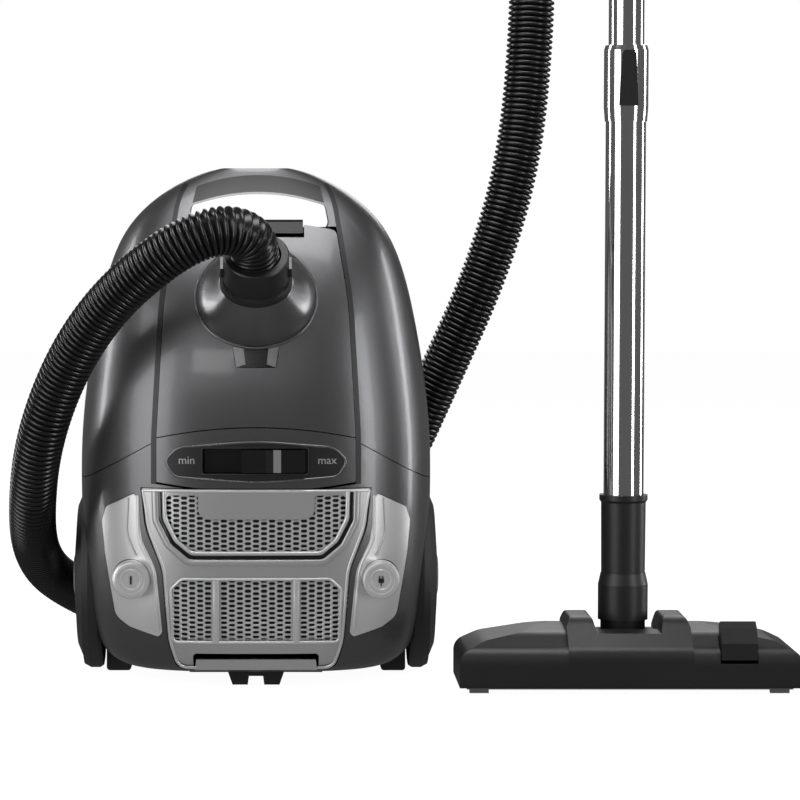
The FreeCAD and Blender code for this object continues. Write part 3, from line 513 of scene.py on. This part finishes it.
def curved_panel(name, outer, holes, out, sink, finish, body, smooth=40):
    """A plate that follows the housing, with its rim turned down into it."""
    shape = bmesh.new()
    loops = []
    for line in [outer] + holes:
        dense = along(line, True, 2.5 * MM)
        verts = [shape.verts.new((p.x, p.y, 0)) for p in dense]
        for one, other in zip(verts, verts[1:] + verts[:1]):
            shape.edges.new((one, other))
        loops.append(dense)
    bmesh.ops.triangle_fill(shape, use_beauty=True, use_dissolve=False, edges=shape.edges[:])
    for axis in (0, 1):
        low = min(v.co[axis] for v in shape.verts)
        high = max(v.co[axis] for v in shape.verts)
        normal = Vector((1, 0, 0)) if axis == 0 else Vector((0, 1, 0))
        for k in range(1, int((high - low) / GRID) + 1):
            everything = shape.verts[:] + shape.edges[:] + shape.faces[:]
            bmesh.ops.bisect_plane(shape, geom=everything, dist=1e-6,
                                   plane_co=normal * (low + k * GRID), plane_no=normal)
    shape.verts.index_update()
    verts = [skin(v.co.x, v.co.y, out) for v in shape.verts]
    faces = [tuple(v.index for v in face.verts) for face in shape.faces]
    rims = [e for e in shape.edges if len(e.link_faces) == 1]
    for edge in rims:
        base = len(verts)
        a, b = (v.index for v in edge.verts)
        for v in edge.verts:
            verts.append(skin(v.co.x, v.co.y, -sink))
        faces.append((a, b, base + 1, base))
    shape.free()
    return piece(name, verts, faces, finish, body, smooth)


LENS = outline_mm(((-77, 194, 7), (-66, 206, 16), (0, 211.5, 260), (66, 206, 16), (77, 194, 7),
                   (68, 181.5, 10), (0, 176.5, 300), (-68, 181.5, 10)))
SLOT = outline_mm(((-45.6, 183.8, 2), (44.1, 183.8, 2), (44.1, 206.2, 2), (-45.6, 206.2, 2)))
curved_panel("panel_recess", LENS, [SLOT], 0.15 * MM, 1.5 * MM, BLACK, "machine")
bead("panel_frame", LENS, arch_profile(2.2 * MM, 0.9 * MM), BOSS_PAINT, "machine")

DOOR = outline_mm(((-95.5, 171.2), (95.5, 171.2), (92, 138, 60), (78.5, 103, 50), (73.7, 41, 60), (66, 15.8, 12),
                   (-66, 15.8, 12), (-73.7, 41, 60), (-78.5, 103, 50), (-92, 138, 60)))
bead("door_lip", shifted(DOOR, -1.6 * MM), arch_profile(2.2 * MM, 0.8 * MM), BRIGHT, "exhaust_door")
bead("lower_window_lip", shifted(LOWER, 1.2 * MM), arch_profile(2.4 * MM, 1.1 * MM), BRIGHT,
     "exhaust_door")


def window_surround(off, top):
    """The upper window's outline from its top right corner down and round to its top left."""
    return outline_mm(((75.5 + off, top), (74.8 + off, 147 - off * 0.3, 12), (66 + off * 0.8, 129 - off * 0.6, 12),
                       (54 + off * 0.3, 119 - off, 10), (-54 - off * 0.3, 119 - off, 10),
                       (-66 - off * 0.8, 129 - off * 0.6, 12), (-74.8 - off, 147 - off * 0.3, 12),
                       (-75.5 - off, top)))


bead("upper_window_lip", window_surround(1.6, 169), arch_profile(3.2 * MM, 1.2 * MM), BRIGHT,
     "exhaust_door", False)
# The low channel between the lip and the band is a gloss black strip: painted shade in the channel.
bead("upper_channel_painted_shade", window_surround(5.2, 169), arch_profile(3.6 * MM, 0.25 * MM), GLOSSY,
     "exhaust_door", False)
bead("upper_band", window_surround(9.6, 169), arch_profile(5.6 * MM, 1.3 * MM), SILVER,
     "exhaust_door", False)
for word, outline in (("upper", UPPER), ("lower", LOWER)):
    curved_panel(word + "_grille_backing", outline, [], -5.4 * MM, 6.2 * MM, RUBBER, "exhaust_door")
TONGUE = outline_mm(((-48.5, 170), (49, 170), (49, 146, 9), (-48.5, 146, 9)))
curved_panel("grille_tongue", TONGUE, [], 0.3 * MM, 2.7 * MM, SILVER, "exhaust_door")
for side, place in (("left", -33.8), ("right", 33.8)):
    bead(side + "_grille_rib", outline_mm(((place, 94.6), (place, 41.8))), arch_profile(6.0 * MM, 1.7 * MM),
         BRIGHT, "exhaust_door", False)
for side, word in ((1, "right"), (-1, "left")):
    inner = outline_mm([(side * x, z, r) for x, z, r in
                        ((99.5, 165, 0), (99.0, 128, 30), (87.2, 104, 40), (82.2, 50, 0))])
    bead(word + "_pod_lip", inner, arch_profile(2.6 * MM, 1.0 * MM), BRIGHT, "machine", False)
    facet = outline_mm([(side * x, z, r) for x, z, r in
                        ((107.5, 163, 0), (109, 132, 26), (103, 118, 20), (101, 114, 0))])
    bead(word + "_pod_facet", facet, arch_profile(1.6 * MM, 0.6 * MM), SILVER, "machine", False)


# ---------------------------------------------------------------- turned pieces
def lathe(name, profile, at, axis, finish, body, hides=(), smooth=38, sides=72):
    """A turned piece; profile is (radius, height) along the axis from its foot."""
    lean = Vector(axis).to_track_quat("Z", "Y")
    verts, faces = [], []
    for radius, height in profile:
        for k in range(sides):
            turn = 2 * math.pi * k / sides
            rim = Vector((radius * math.cos(turn), radius * math.sin(turn), height))
            verts.append(Vector(at) + lean @ rim)
    for i in range(len(profile) - 1):
        for k in range(sides):
            n = (k + 1) % sides
            faces.append((i * sides + k, i * sides + n, (i + 1) * sides + n, (i + 1) * sides + k))
    return piece(name, verts, faces, finish, body, smooth, hides)


def in_mm(*pairs):
    """A profile given in millimetres."""
    return [(radius * MM, height * MM) for radius, height in pairs]


# ---------------------------------------------------------------- hose inlet's shoulder
RIGHT = Vector((1, 0, 0))
OVER = Vector((0, math.sin(A), math.cos(A)))
EGG_MIDDLE = 0.329
EGG_HALF = 0.050
EGG_UP, EGG_DOWN = 0.046, 0.039


def collar_point(turn, radius, drop=0.0):
    """A point on a circle about the inlet's axis."""
    return COLLAR - INLET * drop + (RIGHT * math.sin(turn) + OVER * math.cos(turn)) * radius


def egg_point(turn, grow=0.0):
    """(x, z) on the shoulder's egg-shaped foot."""
    rise = math.cos(turn)
    return (EGG_HALF + grow) * math.sin(turn), EGG_MIDDLE + rise * ((EGG_UP if rise > 0 else EGG_DOWN) + grow)


def make_boss():
    """Egg-shaped shoulder that rises from the lid to the hose connector's collar."""
    sides = 96
    levels = ((0.0, 0.0), (0.06, 0.05), (0.3, 0.2), (0.55, 0.42), (0.8, 0.72), (0.93, 0.92), (1.0, 1.0))
    verts, faces = [], []
    for share, rise in levels:
        for k in range(sides):
            turn = 2 * math.pi * k / sides
            foot = skin(*egg_point(turn), -1.0 * MM + 2.2 * MM * min(1, share * 20))
            rim = collar_point(turn, 0.0310)
            spot = foot.lerp(rim, share)
            spot += INLET * (rise - share) * (rim - foot).dot(INLET) * 0.55
            verts.append(spot)
    for drop in (0.0, 0.030):
        verts += [collar_point(2 * math.pi * k / sides, 0.0232, drop) for k in range(sides)]
    for i in range(len(levels) + 1):
        for k in range(sides):
            n = (k + 1) % sides
            faces.append((i * sides + k, i * sides + n, (i + 1) * sides + n, (i + 1) * sides + k))
    piece("boss_shoulder", verts, faces, BOSS_PAINT, "lid", 40, ("inlet_boss",))
    egg = [Vector(egg_point(2 * math.pi * k / 60, 1.2 * MM)) for k in range(60)]
    bead("boss_rim", egg, arch_profile(2.2 * MM, 1.1 * MM), BOSS_PAINT, "lid")


make_boss()
for side, word in ((1, "right"), (-1, "left")):
    facet = outline_mm([(side * x, z) for x, z in ((19.4, 290.2), (10.5, 290.2), (9.0, 275.5), (16.4, 273.0))])
    curved_panel(word + "_indicator_facet", facet, [], -0.3 * MM, 2.6 * MM, BOSS_PAINT, "lid")

# ---------------------------------------------------------------- foot buttons and their signs
BUTTON_ACROSS, BUTTON_HEIGHT = 0.105, 0.0944
BUTTON_FOOT, BUTTON_FACE = -0.136, -0.1492
BUTTON = in_mm((0.01, 13.05), (7.2, 13.05), (7.8, 13.9), (8.8, 14.0), (9.4, 13.4), (11.0, 13.4),
               (11.6, 14.25), (13.2, 14.3), (14.9, 13.7), (15.9, 12.1), (16, 10), (16, 0.2), (0.01, 0.2))
for name, side in (("power_button", 1), ("rewind_button", -1)):
    lathe(name + "_cap", BUTTON, (side * BUTTON_ACROSS, BUTTON_FOOT, BUTTON_HEIGHT), (0, -1, 0), BRIGHT,
          name, (name,))


def mark(name, wide_mm, tall_mm, across, height, body):
    """A small raised bar on a button's face."""
    half = Vector((wide_mm, 1.0, tall_mm)) * MM / 2
    middle = Vector((across, BUTTON_FACE, height))
    verts = [middle + Vector((x * half.x, y * half.y, z * half.z))
             for x in (-1, 1) for y in (-1, 1) for z in (-1, 1)]
    faces = [(0, 1, 3, 2), (4, 6, 7, 5), (0, 4, 5, 1), (2, 3, 7, 6), (0, 2, 6, 4), (1, 5, 7, 3)]
    piece(name, verts, faces, BLACK, body, 30)


mark("power_mark", 1.5, 7.0, -BUTTON_ACROSS, BUTTON_HEIGHT, "rewind_button")
mark("plug_body", 4.6, 3.6, BUTTON_ACROSS, 0.0940, "power_button")
mark("plug_left_pin", 1.0, 2.4, 0.1037, 0.0970, "power_button")
mark("plug_right_pin", 1.0, 2.4, 0.1063, 0.0970, "power_button")
mark("plug_lead", 1.0, 2.6, BUTTON_ACROSS, 0.0909, "power_button")


def raised_word(name, word, centre, height, body):
    """A plain word that stands a little above the housing."""
    font = bpy.data.curves.new(name, "FONT")
    font.body = word
    font.size = height
    font.align_x = "CENTER"
    holder = bpy.data.objects.new(name + "_line", font)
    scene.collection.objects.link(holder)
    flat = bpy.data.meshes.new_from_object(holder)
    shape = bmesh.new()
    shape.from_mesh(flat)
    bmesh.ops.remove_doubles(shape, verts=shape.verts, dist=1e-6)
    lifted = bmesh.ops.extrude_face_region(shape, geom=shape.faces[:])
    for v in lifted["geom"]:
        if isinstance(v, bmesh.types.BMVert):
            v.co.z = 1
    shape.verts.index_update()
    verts = [skin(centre[0] + v.co.x, centre[1] + v.co.y, 0.5 * MM if v.co.z > 0.5 else -0.4 * MM)
             for v in shape.verts]
    faces = [tuple(v.index for v in face.verts) for face in shape.faces]
    shape.free()
    bpy.data.objects.remove(holder)
    bpy.data.curves.remove(font)
    bpy.data.meshes.remove(flat)
    piece(name, verts, faces, SILVER, body, 30)


raised_word("min_word", "min", (-0.058, 0.1925), 0.0095, "machine")
raised_word("max_word", "max", (0.0595, 0.1925), 0.0095, "machine")
